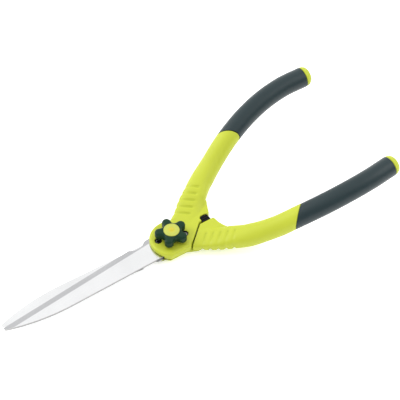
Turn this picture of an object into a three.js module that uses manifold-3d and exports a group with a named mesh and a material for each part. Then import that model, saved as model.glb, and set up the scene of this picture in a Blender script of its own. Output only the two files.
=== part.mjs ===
// Two-handed garden shears: two bevelled blades crossing on one clamped pivot, cranked handles with
// soft grips, a star knob that sets the blade tension, and a rubber buffer that stops the handles.
// Millimetres. +X points to the blade tips, +Z runs up the pivot axis towards the knob, and z = 0 is
// the flat underside of the rear hub. The front arm is the upper one; its handle lies at -Y.
import * as THREE from 'three';
import { mergeVertices } from 'three/addons/utils/BufferGeometryUtils.js';
import Module from 'manifold-3d';

const wasm = await Module();
wasm.setup();

// ---- driving dimensions -------------------------------------------------------------------------

const GAP = 0.3;                  // air between touching pieces
const BLADE_PLANE = 9.5;          // height of the plane where the blades slide on each other
const HUB_TOP = 20;               // upper face of the front hub
const BLADE_THICKNESS = 3;
const THROUGH = [-5, 40];         // heights of a cut that goes right through both arms

const BLADE = {
  tip: 261.5,                     // pivot to tip
  edgeRoot: 23.9,                 // cutting edge to blade axis at the pivot
  edgeTip: -0.9,                  // and at the tip
  spine: 16.4,                    // spine to blade axis at the pivot
  spineTaper: 0.0195,             // how much the blade widens on its spine side per mm
  spineCurveStart: 165,           // where the spine starts to curve to the tip
  tipWidth: 5,
  bevel: 8.9,                     // width of the ground bevel
  edgeLand: 0.4,                  // thickness left at the cutting edge
};

const NOTCH = { start: 30, floorStart: 41, floorEnd: 52, end: 58, floor: 13.5 };

// The hub discs are rounded towards their outer faces: "round" is the width and height of the curve.
// "straight" is the direction in degrees, and the distance, of a straight side cut on the disc.
const HUB = {
  front: { radius: 30.6, round: [4, 3.6], straight: [-90, 26.2] },
  rear: { radius: 28.8, round: [8.5, 5.8], straight: [90, 23.6] },
  boltRecess: 9.7,
};

const SEAM = {
  angle: 132,                     // direction of the seam's normal in degrees, seen from the pivot
  flank: 29.7,                    // pivot to the hub's straight flank
  shoulder: 31.2,                 // pivot to the other arm's shoulder that faces it
  length: 32.1,                   // how far the shoulder's face runs towards the crotch
};

const SKIRT = { width: 7, fromSpine: 2.2 };              // wall beside the blade's spine

const LUG_FACE = 1.5;             // y of the face of the rear arm that the buffer lands on
const CROTCH_X = -67.5;           // outer end of the lug
const SHOULDER_LOW = 2.2;         // underside of the shoulders

const BUFFER = { xNear: -50.3, xFar: -63, back: 9.5, face: -1.2, round: 5, low: 2, high: 19 };

// The core starts before the grip's front edge, and the full-size rod is cut off at that edge.
const GRIP = { radius: 14.8, wall: 2.6, startX: -149, slant: -30, coreStartX: -119, rodEndX: -173 };

const CAP = { height: 11, spigotRadius: 7, spigotDepth: 16 };

const BOLT = { radius: 4, headRadius: 9, headHigh: 4.1, neck: 4, top: 31.4 };
const BUSH = { radius: 6, bore: BOLT.radius + GAP };
const BOLT_WASHER = { radius: 9.2, low: 4.4, high: 6.05 };
const KNOB_WASHER = { radius: 11, low: HUB_TOP + GAP, high: HUB_TOP + GAP + 1.4 };

const SCREW = { distance: 19, angle: 13.4, headRadius: 4.2, shankRadius: 2.5, headHeight: 2,
  recessRadius: 4.8, recessDepth: 3.8, socket: 1.5, socketDepth: 1.2 };

const KNOB = { low: 22, lobeLow: 23.6, high: 35.2, lobes: 5, lobeCentre: 16.7, lobeRadius: 6.2, lobeArc: 1.6,
  hollow: 10.5, turn: -26, round: 2, bossRadius: 11.5 };
const KNOB_CAP = { radius: 11, low: 33.6, high: 36.4 };
const INSERT = { radius: 7, low: 23, high: 32 };

// Finger ribs: grooves round the outer flank of each handle root, leaning along the handle and
// shallowest at one angle round the section.
const RIBS = { count: 5, firstX: -39, endX: -78, pitch: 8.6, depth: 1.3, width: 4.2, lean: 0.25,
  shallow: THREE.MathUtils.degToRad(40) };

// Half sizes of a handle's section: broad and flat at the hub, round at the grip.
const ROOT = { halfWidth: 17, halfHeight: 6.9, squareness: 3.4 };

// Web between a handle root and the crotch: the section reaches further inwards there.
const WEB = { reach: 3.5, rise: [30, 46], fall: [50, 66] };

// Waist on the inner flank beyond the web.
const WAIST = { reach: 1.2, rise: [58, 74], fall: [78, 94] };

// Swelling of the outer flank along the ribs, which fades towards the grip.
const SWELL = { reach: 2.2, rise: [38, 60], fall: [80, 118] };

// Centre line of a handle in an arm whose handle lies at +Y, as x, y and height above BLADE_PLANE.
const HANDLE_LINE = [
  [-26, 15, 3.6], [-36, 22, 4.4], [-55, 35.5, 8.2], [-72.5, 47.3, 12], [-90, 59, 16.2],
  [-119, 74, 27.3], [-148, 85, 41], [-183, 95, 54], [-218, 101, 63.5], [-253, 103, 69.3],
  [-287.5, 101, 71.8],
];

// ---- the two arms -------------------------------------------------------------------------------

// Both arms are laid out with the handle at +Y and the blade's spine at -Y; the front arm is then
// mirrored across the XZ plane. "outward" points from the blade plane to the arm's own hub.
const REAR = {
  name: 'rear', mirror: false, outward: -1,
  blade: [BLADE_PLANE - GAP / 2 - BLADE_THICKNESS, BLADE_PLANE - GAP / 2],
  hub: [0, BLADE_PLANE - BLADE_THICKNESS - 1.5 * GAP],
};
const FRONT = {
  name: 'front', mirror: true, outward: 1,
  blade: [BLADE_PLANE + GAP / 2, BLADE_PLANE + GAP / 2 + BLADE_THICKNESS],
  hub: [BLADE_PLANE + BLADE_THICKNESS + 1.5 * GAP, HUB_TOP],
};

// ---- materials ----------------------------------------------------------------------------------

function finish(color, roughness, metalness) {
  return new THREE.MeshStandardMaterial({ color, roughness, metalness });
}

const LIME = () => finish('#cddb45', 0.4, 0);
const GRIP_RUBBER = () => finish('#3c4a4a', 0.7, 0);
const KNOB_GREEN = () => finish('#24463f', 0.45, 0);
const BLADE_STEEL = () => finish('#d9dcdd', 0.28, 1);
const FASTENER_STEEL = () => finish('#8f9395', 0.4, 1);
const BLACK_STEEL = () => finish('#26282a', 0.45, 0.8);
const BRASS = () => finish('#b59a55', 0.35, 1);
const BLACK_RUBBER = () => finish('#17191a', 0.85, 0);

// ---- solid helpers ------------------------------------------------------------------------------

function solid(geometry) {
  const bare = geometry.clone();
  bare.deleteAttribute('normal');
  bare.deleteAttribute('uv');
  const merged = mergeVertices(bare, 1e-4);
  const corners = merged.index.array;
  const triangles = [];
  for (let i = 0; i < corners.length; i += 3) {
    const [a, b, c] = [corners[i], corners[i + 1], corners[i + 2]];
    if (a !== b && b !== c && c !== a) triangles.push(a, b, c);
  }
  return new wasm.Manifold(new wasm.Mesh({
    numProp: 3,
    vertProperties: new Float32Array(merged.attributes.position.array),
    triVerts: new Uint32Array(triangles),
  }));
}

function geometryOf(body, mirror = false) {
  const mesh = body.getMesh();
  const geometry = new THREE.BufferGeometry();
  geometry.setAttribute('position', new THREE.BufferAttribute(new Float32Array(mesh.vertProperties), 3));
  const index = new Uint32Array(mesh.triVerts);
  if (mirror) {
    geometry.scale(1, -1, 1);
    index.reverse();
  }
  geometry.setIndex(new THREE.BufferAttribute(index, 1));
  geometry.computeVertexNormals();
  return geometry;
}

function cylinder(radius, low, high, x = 0, y = 0, segments = 32) {
  const geometry = new THREE.CylinderGeometry(radius, radius, high - low, segments);
  geometry.rotateX(Math.PI / 2);
  geometry.translate(x, y, (low + high) / 2);
  return solid(geometry);
}

function box(xLow, xHigh, yLow, yHigh, zLow, zHigh) {
  const geometry = new THREE.BoxGeometry(xHigh - xLow, yHigh - yLow, zHigh - zLow);
  geometry.translate((xLow + xHigh) / 2, (yLow + yHigh) / 2, (zLow + zHigh) / 2);
  return solid(geometry);
}

// Turns a profile of [radius, height] points about the Z axis.
function turned(profile, segments = 40) {
  const geometry = new THREE.LatheGeometry(profile.map(([r, z]) => new THREE.Vector2(r, z)), segments);
  geometry.rotateX(Math.PI / 2);
  return solid(geometry);
}

// The same outline drawn "inset" further in, corner by corner.
function insetOutline(outline, inset) {
  return outline.map((point, i) => {
    const before = outline[(i + outline.length - 1) % outline.length];
    const after = outline[(i + 1) % outline.length];
    const arriving = point.clone().sub(before).normalize();
    const leaving = after.clone().sub(point).normalize();
    const inward = new THREE.Vector2(-arriving.y - leaving.y, arriving.x + leaving.x).normalize();
    return point.clone().addScaledVector(inward, inset);
  });
}

// A flat slab of a plan outline, its edges chamfered by the same amount above and below.
function slab(outline, low, high, chamfer = 0) {
  const plan = THREE.ShapeUtils.isClockWise(outline) ? outline.slice().reverse() : outline;
  const level = (inset, z) => insetOutline(plan, inset).map(({ x, y }) => new THREE.Vector3(x, y, z));
  const rings = chamfer > 0
    ? [level(chamfer, low), level(0, low + chamfer), level(0, high - chamfer), level(chamfer, high)]
    : [level(0, low), level(0, high)];
  return loft(rings, THREE.ShapeUtils.triangulateShape(plan, []));
}

// A plan outline from corners [x, y, cut], each corner rounded over the length "cut" of its edges.
function roundedOutline(corners, steps = 4) {
  const outline = [];
  corners.forEach(([x, y, cut], i) => {
    const corner = new THREE.Vector2(x, y);
    if (cut === 0) {
      outline.push(corner);
      return;
    }
    const before = corners[(i + corners.length - 1) % corners.length];
    const after = corners[(i + 1) % corners.length];
    const enter = new THREE.Vector2(before[0], before[1]).sub(corner).setLength(cut).add(corner);
    const leave = new THREE.Vector2(after[0], after[1]).sub(corner).setLength(cut).add(corner);
    outline.push(...new THREE.QuadraticBezierCurve(enter, corner, leave).getPoints(steps));
  });
  return outline;
}

function signedVolume(points, faces) {
  let volume = 0;
  for (const [a, b, c] of faces) {
    volume += points[a].dot(new THREE.Vector3().crossVectors(points[b], points[c])) / 6;
  }
  return volume;
}

// Skins a row of rings, each a list of as many points. Both ends are closed by the triangles of
// "lid", or by a fan where the rings are convex and no lid is given.
function loft(rings, lid = null) {
  const points = rings.flat();
  const count = rings[0].length;
  const faces = [];
  for (let ring = 0; ring + 1 < rings.length; ring += 1) {
    for (let i = 0; i < count; i += 1) {
      const a = ring * count + i;
      const b = ring * count + ((i + 1) % count);
      faces.push([a, b, b + count], [a, b + count, a + count]);
    }
  }
  const last = (rings.length - 1) * count;
  const ends = lid ?? Array.from({ length: count - 2 }, (_, i) => [0, i + 1, i + 2]);
  for (const [a, b, c] of ends) faces.push([c, b, a], [last + a, last + b, last + c]);
  if (signedVolume(points, faces) < 0) faces.forEach((face) => face.reverse());
  const geometry = new THREE.BufferGeometry().setFromPoints(points);
  geometry.setIndex(faces.flat());
  return solid(geometry);
}

function smoothstep(from, to, value) {
  return THREE.MathUtils.smoothstep(value, from, to);
}

// Rises from 0 to 1 and falls back to 0 as the value passes the two ranges.
function bump({ rise, fall }, value) {
  return smoothstep(...rise, value) * (1 - smoothstep(...fall, value));
}

// ---- handles ------------------------------------------------------------------------------------

const handleCurve = new THREE.CatmullRomCurve3(
  HANDLE_LINE.map(([x, y, z]) => new THREE.Vector3(x, y, z + BLADE_PLANE)), false, 'centripetal');

// Where the centre line reaches a given x, as a fraction of its length.
function fractionAtX(x) {
  let low = 0;
  let high = 1;
  for (let step = 0; step < 40; step += 1) {
    const middle = (low + high) / 2;
    if (handleCurve.getPointAt(middle).x > x) low = middle;
    else high = middle;
  }
  return low;
}

// Depth of the finger ribs at one place; an angle of 0 is the outer flank.
function ribDepth(x, angle) {
  let depth = 0;
  for (let i = 0; i < RIBS.count; i += 1) {
    const offset = Math.abs(x - (RIBS.firstX - i * RIBS.pitch)) / (RIBS.width / 2);
    if (offset < 1) depth = RIBS.depth * (1 - offset * offset);
  }
  const round = 0.25 + 0.75 * Math.sin(angle - RIBS.shallow) ** 2;
  return depth * round * smoothstep(-0.25, -0.05, Math.cos(angle)) * smoothstep(-0.97, -0.75, Math.sin(angle));
}

// One cross-section: a superellipse that is broad and flat at the hub and round further out.
function handleRing(fraction, shrink) {
  const points = 20;
  const centre = handleCurve.getPointAt(fraction);
  const along = handleCurve.getTangentAt(fraction);
  const outer = new THREE.Vector3(along.y, -along.x, 0).normalize();
  const up = new THREE.Vector3().crossVectors(along, outer).normalize();
  if (up.z < 0) up.negate();
  const round = smoothstep(30, 105, -centre.x);
  const taller = smoothstep(34, 98, -centre.x);
  const halfWidth = THREE.MathUtils.lerp(ROOT.halfWidth, GRIP.radius, round) - shrink;
  const halfHeight = THREE.MathUtils.lerp(ROOT.halfHeight, GRIP.radius, taller) - shrink;
  const power = 2 / THREE.MathUtils.lerp(ROOT.squareness, 2, round);
  const lean = RIBS.lean * (1 - smoothstep(76, 92, -centre.x));
  const web = bump(WEB, -centre.x);
  const webDrop = Math.max(0, centre.z + halfHeight - HUB_TOP) * web;
  const innerReach = WEB.reach * web - WAIST.reach * bump(WAIST, -centre.x);
  const outerReach = SWELL.reach * bump(SWELL, -centre.x);
  const ring = [];
  for (let i = 0; i < points; i += 1) {
    const angle = (2 * Math.PI * i) / points;
    const groove = ribDepth(centre.x, angle);
    const inner = Math.cos(angle) < 0;
    const reach = halfWidth + (inner ? innerReach : outerReach) - groove;
    const across = Math.sign(Math.cos(angle)) * Math.abs(Math.cos(angle)) ** power * reach;
    let upward = Math.sign(Math.sin(angle)) * Math.abs(Math.sin(angle)) ** power * (halfHeight - groove);
    if (inner && upward > 0) upward -= webDrop * (across / reach) ** 2;
    ring.push(centre.clone()
      .addScaledVector(outer, across)
      .addScaledVector(up, upward)
      .addScaledVector(along, -lean * across));
  }
  return ring;
}

function handleRod(fromFraction, toFraction, shrink, steps) {
  const rings = [];
  for (let i = 0; i <= steps; i += 1) {
    rings.push(handleRing(fromFraction + ((toFraction - fromFraction) * i) / steps, shrink));
  }
  return loft(rings);
}

// The ribbed root, with rings close enough to carry the grooves.
function ribbedRoot(toFraction) {
  const fractions = [0];
  const halfWidth = RIBS.width / 2;
  for (let i = 0; i < RIBS.count; i += 1) {
    const middle = RIBS.firstX - i * RIBS.pitch;
    for (const offset of [halfWidth, halfWidth / 2, 0, -halfWidth / 2, -halfWidth]) {
      fractions.push(fractionAtX(middle + offset));
    }
  }
  fractions.push(toFraction);
  return loft(fractions.map((fraction) => handleRing(fraction, 0)));
}

// Everything beyond the slanted front edge of the grip; "shift" moves the cut along the handle.
function beyondGripEdge(shift) {
  const fraction = fractionAtX(GRIP.startX);
  const along = handleCurve.getTangentAt(fraction);
  const geometry = new THREE.BoxGeometry(300, 300, 300);
  geometry.translate(-150 - shift, 0, 0);
  geometry.rotateZ(THREE.MathUtils.degToRad(GRIP.slant) + Math.atan2(-along.y, -along.x));
  const centre = handleCurve.getPointAt(fraction);
  geometry.translate(centre.x, centre.y, centre.z);
  return solid(geometry);
}

// A turned piece on the end of the handle, its axis along the end of the centre line.
function onHandleEnd(geometry) {
  const along = handleCurve.getTangentAt(1);
  geometry.applyQuaternion(new THREE.Quaternion().setFromUnitVectors(new THREE.Vector3(0, 1, 0), along));
  const end = handleCurve.getPointAt(1);
  geometry.translate(end.x, end.y, end.z);
  return solid(geometry);
}

function endCap() {
  const steps = 6;
  const radius = GRIP.radius - 0.4;
  const profile = [new THREE.Vector2(0, -CAP.spigotDepth),
    new THREE.Vector2(CAP.spigotRadius, -CAP.spigotDepth),
    new THREE.Vector2(CAP.spigotRadius, GAP), new THREE.Vector2(radius, GAP)];
  for (let i = 1; i < steps; i += 1) {
    const angle = (Math.PI / 2) * (i / steps);
    profile.push(new THREE.Vector2(radius * Math.cos(angle), GAP + CAP.height * Math.sin(angle)));
  }
  profile.push(new THREE.Vector2(0, GAP + CAP.height));
  return onHandleEnd(new THREE.LatheGeometry(profile, 24));
}

// A round hole in the end of the handle.
function endBore(radius, depth) {
  const beyondEnd = 5;
  const profile = [new THREE.Vector2(0, -depth), new THREE.Vector2(radius, -depth),
    new THREE.Vector2(radius, beyondEnd), new THREE.Vector2(0, beyondEnd)];
  return onHandleEnd(new THREE.LatheGeometry(profile, 24));
}

function grip() {
  const from = fractionAtX(GRIP.coreStartX);
  const sleeve = handleRod(from, 1, 0, 12);
  const bore = handleRod(from, 1, GRIP.wall, 12);
  return sleeve.intersect(beyondGripEdge(GAP)).subtract(bore).subtract(endBore(GRIP.radius - GRIP.wall, 1));
}

// ---- hubs ---------------------------------------------------------------------------------------

// A point on a line that faces the pivot squarely at "distance"; "along" runs towards the crotch.
function seamPoint(distance, along, side) {
  const angle = THREE.MathUtils.degToRad(SEAM.angle);
  const x = distance * Math.cos(angle) - along * Math.sin(angle);
  const y = distance * Math.sin(angle) + along * Math.cos(angle);
  return [x, side * y];
}

// The full-height shoulder between the hub and the crotch.
function shoulder() {
  const lugCorner = seamPoint(SEAM.shoulder, SEAM.length, 1);
  const shape = roundedOutline([
    [...seamPoint(SEAM.shoulder, -7, 1), 1], [lugCorner[0], LUG_FACE, 1], [CROTCH_X, LUG_FACE, 3],
    [-68.4, 13, 5], [-71.7, 28, 6], [-64, 42, 2], [-38, 27, 3], [-24, 22, 3],
  ]);
  return slab(shape, SHOULDER_LOW, HUB_TOP, 0.8);
}

// The arm's own hub: a disc with a straight flank towards the other arm's shoulder.
function hub(arm) {
  const [low, high] = arm.hub;
  const { radius, round: [roundWidth, roundHeight] } = HUB[arm.name];
  const outerFace = arm.outward > 0 ? high : low;
  const innerFace = arm.outward > 0 ? low : high;
  const profile = [[0, outerFace]];
  for (let i = 0; i <= 4; i += 1) {
    const angle = (Math.PI / 2) * (i / 4);
    profile.push([radius - roundWidth * (1 - Math.sin(angle)),
      outerFace - arm.outward * roundHeight * (1 - Math.cos(angle))]);
  }
  profile.push([radius, innerFace], [0, innerFace]);
  if (arm.outward > 0) profile.reverse();
  const flank = roundedOutline([
    [...seamPoint(SEAM.flank, 0, -1), 0], [...seamPoint(SEAM.flank, 35, -1), 1],
    [-48, 22, 0], [-26, 28, 0], [-8, 20, 0],
  ]);
  return turned(profile, 64).subtract(hubSides(arm)).add(slab(flank, low, high, 0.6));
}

// Everything further from the pivot than "distance" in one direction, given in degrees.
function beyond(direction, distance) {
  const size = 200;
  const geometry = new THREE.BoxGeometry(size, size, size);
  geometry.translate(distance + size / 2, 0, 0);
  geometry.rotateZ(THREE.MathUtils.degToRad(direction));
  return solid(geometry);
}

// What is cut off a round hub to leave its straight side and its flank along the seam.
function hubSides(arm) {
  return beyond(...HUB[arm.name].straight).add(beyond(-SEAM.angle, SEAM.flank - GAP / 3));
}

function skirtInner(arm) {
  return HUB[arm.name].radius - SKIRT.width;
}

// The wall that closes the hub beside the blade's spine.
function skirt(arm) {
  const [low, high] = arm.outward > 0
    ? [arm.blade[0], arm.blade[1] + 2 * GAP] : [arm.blade[0] - 2 * GAP, arm.blade[1]];
  return cylinder(HUB[arm.name].radius, low, high, 0, 0, 64)
    .intersect(beyond(-90, BLADE.spine + SKIRT.fromSpine))
    .subtract(hubSides(arm));
}

// The tang that runs back from the pivot into the shoulder.
function tang(arm, extra) {
  const shape = roundedOutline([
    [-4, -22 - extra, 3], [-20, -16 - extra, 3], [-62 - extra, 28 - extra, 4], [-55, 34 + extra, 4],
    [-24, 17 + extra, 3], [-4, 23 + extra, 3],
  ]);
  return slab(shape, arm.blade[0] - extra, arm.blade[1] + extra);
}

function screwPlaces() {
  const angle = THREE.MathUtils.degToRad(SCREW.angle);
  return [1, -1].map((end) => [end * SCREW.distance * Math.cos(angle), end * SCREW.distance * Math.sin(angle)]);
}

function screw(arm, x, y) {
  const outerFace = arm.outward > 0 ? HUB_TOP : 0;
  const seat = outerFace - arm.outward * (SCREW.recessDepth - GAP);
  const headTop = seat + arm.outward * SCREW.headHeight;
  const bladeEnd = arm.outward > 0 ? arm.blade[0] : arm.blade[1];
  const socketFloor = headTop - arm.outward * SCREW.socketDepth;
  const span = (a, b) => [Math.min(a, b), Math.max(a, b)];
  return cylinder(SCREW.headRadius, ...span(seat, headTop), x, y, 24)
    .add(cylinder(SCREW.shankRadius, ...span(bladeEnd, seat + arm.outward * 0.5), x, y, 16))
    .subtract(cylinder(SCREW.socket, ...span(socketFloor, headTop + arm.outward), x, y, 6));
}

function cutScrewHoles(body, arm) {
  const outerFace = arm.outward > 0 ? HUB_TOP : 0;
  const seat = outerFace - arm.outward * SCREW.recessDepth;
  let cut = body;
  for (const [x, y] of screwPlaces()) {
    cut = cut.subtract(cylinder(SCREW.shankRadius + GAP, ...THROUGH, x, y, 16));
    cut = cut.subtract(cylinder(SCREW.recessRadius, Math.min(seat, outerFace + arm.outward * 20),
      Math.max(seat, outerFace + arm.outward * 20), x, y, 24));
  }
  return cut;
}

// Plan of the buffer, and of its pocket when "extra" is added, in the front arm's own layout.
function bufferShape(extra) {
  return roundedOutline([
    [BUFFER.xNear + extra, BUFFER.face - extra, 0], [BUFFER.xNear + extra, BUFFER.back + extra, BUFFER.round],
    [BUFFER.xFar - extra, BUFFER.back + extra, BUFFER.round], [BUFFER.xFar - extra, BUFFER.face - extra, 0],
  ]);
}

function handle(arm) {
  const rootEnd = fractionAtX(RIBS.endX);
  const coreStart = fractionAtX(GRIP.coreStartX);
  const rod = ribbedRoot(rootEnd)
    .add(handleRod(rootEnd, fractionAtX(GRIP.rodEndX), 0, 9).subtract(beyondGripEdge(0)))
    .add(handleRod(coreStart, 1, GRIP.wall + GAP, 12));
  let body = rod.add(shoulder()).add(hub(arm)).add(skirt(arm));
  body = body.subtract(otherArmSweep(arm)).subtract(tang(arm, GAP)).subtract(bladeRoom(arm));
  body = cutScrewHoles(body, arm);
  const centreHole = arm.outward > 0 ? BUSH.radius + GAP : HUB.boltRecess;
  body = body.subtract(cylinder(centreHole, ...THROUGH));
  body = body.subtract(endBore(CAP.spigotRadius + GAP, CAP.spigotDepth + GAP));
  return arm === FRONT ? body.subtract(slab(bufferShape(GAP), ...THROUGH)).subtract(bufferRelief()) : body;
}

// Opens the front arm's crotch round the buffer, so that only the rear arm carries a lug.
function bufferRelief() {
  const wallEnd = 7.2;
  return slab(roundedOutline([
    [BUFFER.xNear + GAP, -20, 0], [BUFFER.xNear + GAP, wallEnd, 0], [-66, wallEnd + 0.6, 2], [-69, 15, 3],
    [-75, 27, 0], [-90, 27, 0], [-90, -20, 0],
  ]), ...THROUGH);
}

// The room that the other arm's hub, blade and skirt need: the layers on the far side of the plane.
function otherArmSweep(arm) {
  const corners = [
    seamPoint(SEAM.shoulder, -14, 1), seamPoint(SEAM.shoulder, 60, 1), [40, -60], [60, 60],
  ].map(([x, y]) => [x, y, 0]);
  const far = arm.outward > 0 ? [THROUGH[0], arm.blade[0]] : [arm.blade[1], THROUGH[1]];
  return slab(roundedOutline(corners), far[0], far[1]);
}

// Clears the blade's own layer in front of the skirt and under the hub disc.
function bladeRoom(arm) {
  return cylinder(skirtInner(arm), arm.blade[0] - GAP, arm.blade[1] + GAP, 0, 0, 48);
}

// ---- blades -------------------------------------------------------------------------------------

function edgeY(x) {
  const along = x / BLADE.tip;
  return BLADE.edgeRoot * (1 - along) + BLADE.edgeTip * along;
}

function spineY(x) {
  const along = Math.max(0, (x - BLADE.spineCurveStart) / (BLADE.tip - BLADE.spineCurveStart));
  const rise = BLADE.spine + BLADE.spineTaper * BLADE.tip + BLADE.edgeTip - BLADE.tipWidth;
  return rise * along ** 2.1 - BLADE.spine - BLADE.spineTaper * x;
}

// Section of the blade at x: flat on the sliding face, ground down to the cutting edge on the other.
function bladeRing(arm, x) {
  const flat = arm.outward > 0 ? arm.blade[0] : arm.blade[1];
  const height = (rise) => flat + arm.outward * rise;
  const width = edgeY(x) - spineY(x);
  const bevel = Math.min(BLADE.bevel, width - 0.3);
  const bevelTop = BLADE.edgeLand + (BLADE_THICKNESS - BLADE.edgeLand) * (bevel / BLADE.bevel);
  return [
    [edgeY(x), 0], [edgeY(x), BLADE.edgeLand], [edgeY(x) - bevel, bevelTop],
    [spineY(x), bevelTop], [spineY(x), 0],
  ].map(([y, rise]) => new THREE.Vector3(x, y, height(rise)));
}

function notch(arm) {
  const outside = edgeY(NOTCH.floorStart) + 6;
  const shape = roundedOutline([
    [NOTCH.start - 4, outside, 0], [NOTCH.start, edgeY(NOTCH.start), 2], [NOTCH.floorStart, NOTCH.floor, 4],
    [NOTCH.floorEnd, NOTCH.floor, 3], [NOTCH.end, edgeY(NOTCH.end), 0.5], [NOTCH.end + 3, outside, 0],
  ]);
  return slab(shape, arm.blade[0] - 2, arm.blade[1] + 2);
}

function blade(arm) {
  const rings = [];
  const stations = 30;
  for (let i = 0; i <= stations; i += 1) {
    rings.push(bladeRing(arm, BLADE.tip * (1 - (1 - i / stations) ** 1.3) + 6 * (1 - i / stations)));
  }
  const root = cylinder(skirtInner(arm) - GAP, arm.blade[0], arm.blade[1], 0, 0, 48);
  let body = loft(rings).add(root).add(tang(arm, 0)).subtract(notch(arm));
  for (const [x, y] of screwPlaces()) {
    body = body.subtract(cylinder(SCREW.shankRadius + GAP, ...THROUGH, x, y, 16));
  }
  if (arm === FRONT) return body.subtract(cylinder(BUSH.radius + GAP, ...THROUGH));
  const half = BOLT.neck + GAP;
  return body.subtract(box(-half, half, -half, half, ...THROUGH));
}

// ---- pivot --------------------------------------------------------------------------------------

function pivotBolt() {
  const neckTop = REAR.blade[1];
  const neck = box(-BOLT.neck, BOLT.neck, -BOLT.neck, BOLT.neck, BOLT.headHigh - 1, neckTop);
  return cylinder(BOLT.headRadius, 0, BOLT.headHigh, 0, 0, 40)
    .add(neck)
    .add(cylinder(BOLT.radius, neckTop - 1, BOLT.top, 0, 0, 32));
}

function washer(radius, bore, low, high) {
  return cylinder(radius, low, high, 0, 0, 40).subtract(cylinder(bore, low - 1, high + 1, 0, 0, 32));
}

function pivotBush() {
  return washer(BUSH.radius, BUSH.bore, FRONT.blade[0], HUB_TOP);
}

function boltWasher() {
  const half = BOLT.neck + GAP;
  return cylinder(BOLT_WASHER.radius, BOLT_WASHER.low, BOLT_WASHER.high, 0, 0, 40)
    .subtract(box(-half, half, -half, half, 0, 10));
}

function buffer() {
  return slab(bufferShape(0), BUFFER.low, BUFFER.high, 0.6);
}

// ---- tension knob -------------------------------------------------------------------------------

// Round lobes joined by hollow curves.
function knobOutline() {
  const outline = [];
  const pitch = (2 * Math.PI) / KNOB.lobes;
  const onLobe = (middle, angle) => new THREE.Vector2(
    KNOB.lobeCentre * Math.cos(middle) + KNOB.lobeRadius * Math.cos(middle + angle),
    KNOB.lobeCentre * Math.sin(middle) + KNOB.lobeRadius * Math.sin(middle + angle));
  for (let i = 0; i < KNOB.lobes; i += 1) {
    const middle = THREE.MathUtils.degToRad(KNOB.turn) + i * pitch;
    for (let step = -3; step < 3; step += 1) outline.push(onLobe(middle, (KNOB.lobeArc * step) / 3));
    const hollow = new THREE.Vector2(KNOB.hollow, 0).rotateAround(new THREE.Vector2(), middle + pitch / 2);
    const curve = new THREE.QuadraticBezierCurve(
      onLobe(middle, KNOB.lobeArc), hollow, onLobe(middle + pitch, -KNOB.lobeArc));
    outline.push(...curve.getPoints(5).slice(0, -1));
  }
  return outline;
}

function knobBody() {
  return slab(knobOutline(), KNOB.lobeLow, KNOB.high, KNOB.round)
    .add(cylinder(KNOB.bossRadius, KNOB.low, KNOB.lobeLow + KNOB.round, 0, 0, 40))
    .subtract(cylinder(BUSH.bore + GAP, KNOB.low - 1, KNOB.high, 0, 0, 32))
    .subtract(cylinder(INSERT.radius + GAP, INSERT.low - GAP, KNOB.high + 1, 0, 0, 32))
    .subtract(cylinder(KNOB_CAP.radius + GAP, KNOB_CAP.low - GAP, KNOB.high + 1, 0, 0, 40));
}

function knobInsert() {
  return washer(INSERT.radius, BUSH.bore, INSERT.low, INSERT.high);
}

function knobCap() {
  const { radius, low, high } = KNOB_CAP;
  return turned([[0, low], [radius, low], [radius, high - 1], [radius - 0.8, high - 0.3], [0, high]], 40);
}

// ---- assembly -----------------------------------------------------------------------------------

const shears = new THREE.Group();

function place(parent, name, body, material, mirror = false) {
  const mesh = new THREE.Mesh(geometryOf(body, mirror), material);
  mesh.name = name;
  parent.add(mesh);
}

function addArm(arm) {
  const group = new THREE.Group();
  place(group, `${arm.name}_handle`, handle(arm), LIME(), arm.mirror);
  place(group, `${arm.name}_blade`, blade(arm), BLADE_STEEL(), arm.mirror);
  place(group, `${arm.name}_grip`, grip(), GRIP_RUBBER(), arm.mirror);
  place(group, `${arm.name}_end_cap`, endCap(), LIME(), arm.mirror);
  screwPlaces().forEach(([x, y], i) => {
    const where = i === 0 ? 'blade_side' : 'handle_side';
    place(group, `${arm.name}_screw_${where}`, screw(arm, x, y), BLACK_STEEL(), arm.mirror);
  });
  shears.add(group);
  return group;
}

addArm(REAR);
const frontArm = addArm(FRONT);
place(frontArm, 'stop_buffer', buffer(), BLACK_RUBBER(), true);
place(frontArm, 'pivot_bush', pivotBush(), BRASS());

place(shears, 'pivot_bolt', pivotBolt(), FASTENER_STEEL());
place(shears, 'bolt_washer', boltWasher(), FASTENER_STEEL());
place(shears, 'knob_washer', washer(KNOB_WASHER.radius, BUSH.bore, KNOB_WASHER.low, KNOB_WASHER.high),
  FASTENER_STEEL());
place(shears, 'knob_body', knobBody(), KNOB_GREEN());
place(shears, 'knob_insert', knobInsert(), BRASS());
place(shears, 'knob_cap', knobCap(), LIME());

export default shears;
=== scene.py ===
"""Detailed pieces, materials, light and camera for the two-handed garden shears.

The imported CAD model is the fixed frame, in metres. Shapes here are worked out in millimetres in the
same frame and scaled when a mesh is made: +X to the blade tips, +Z up the pivot axis to the knob.
Each arm is laid out with its handle at +Y, and the front (upper) arm is then mirrored to -Y.
"""

import math

import bmesh
import bpy
from mathutils import Matrix, Vector


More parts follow.
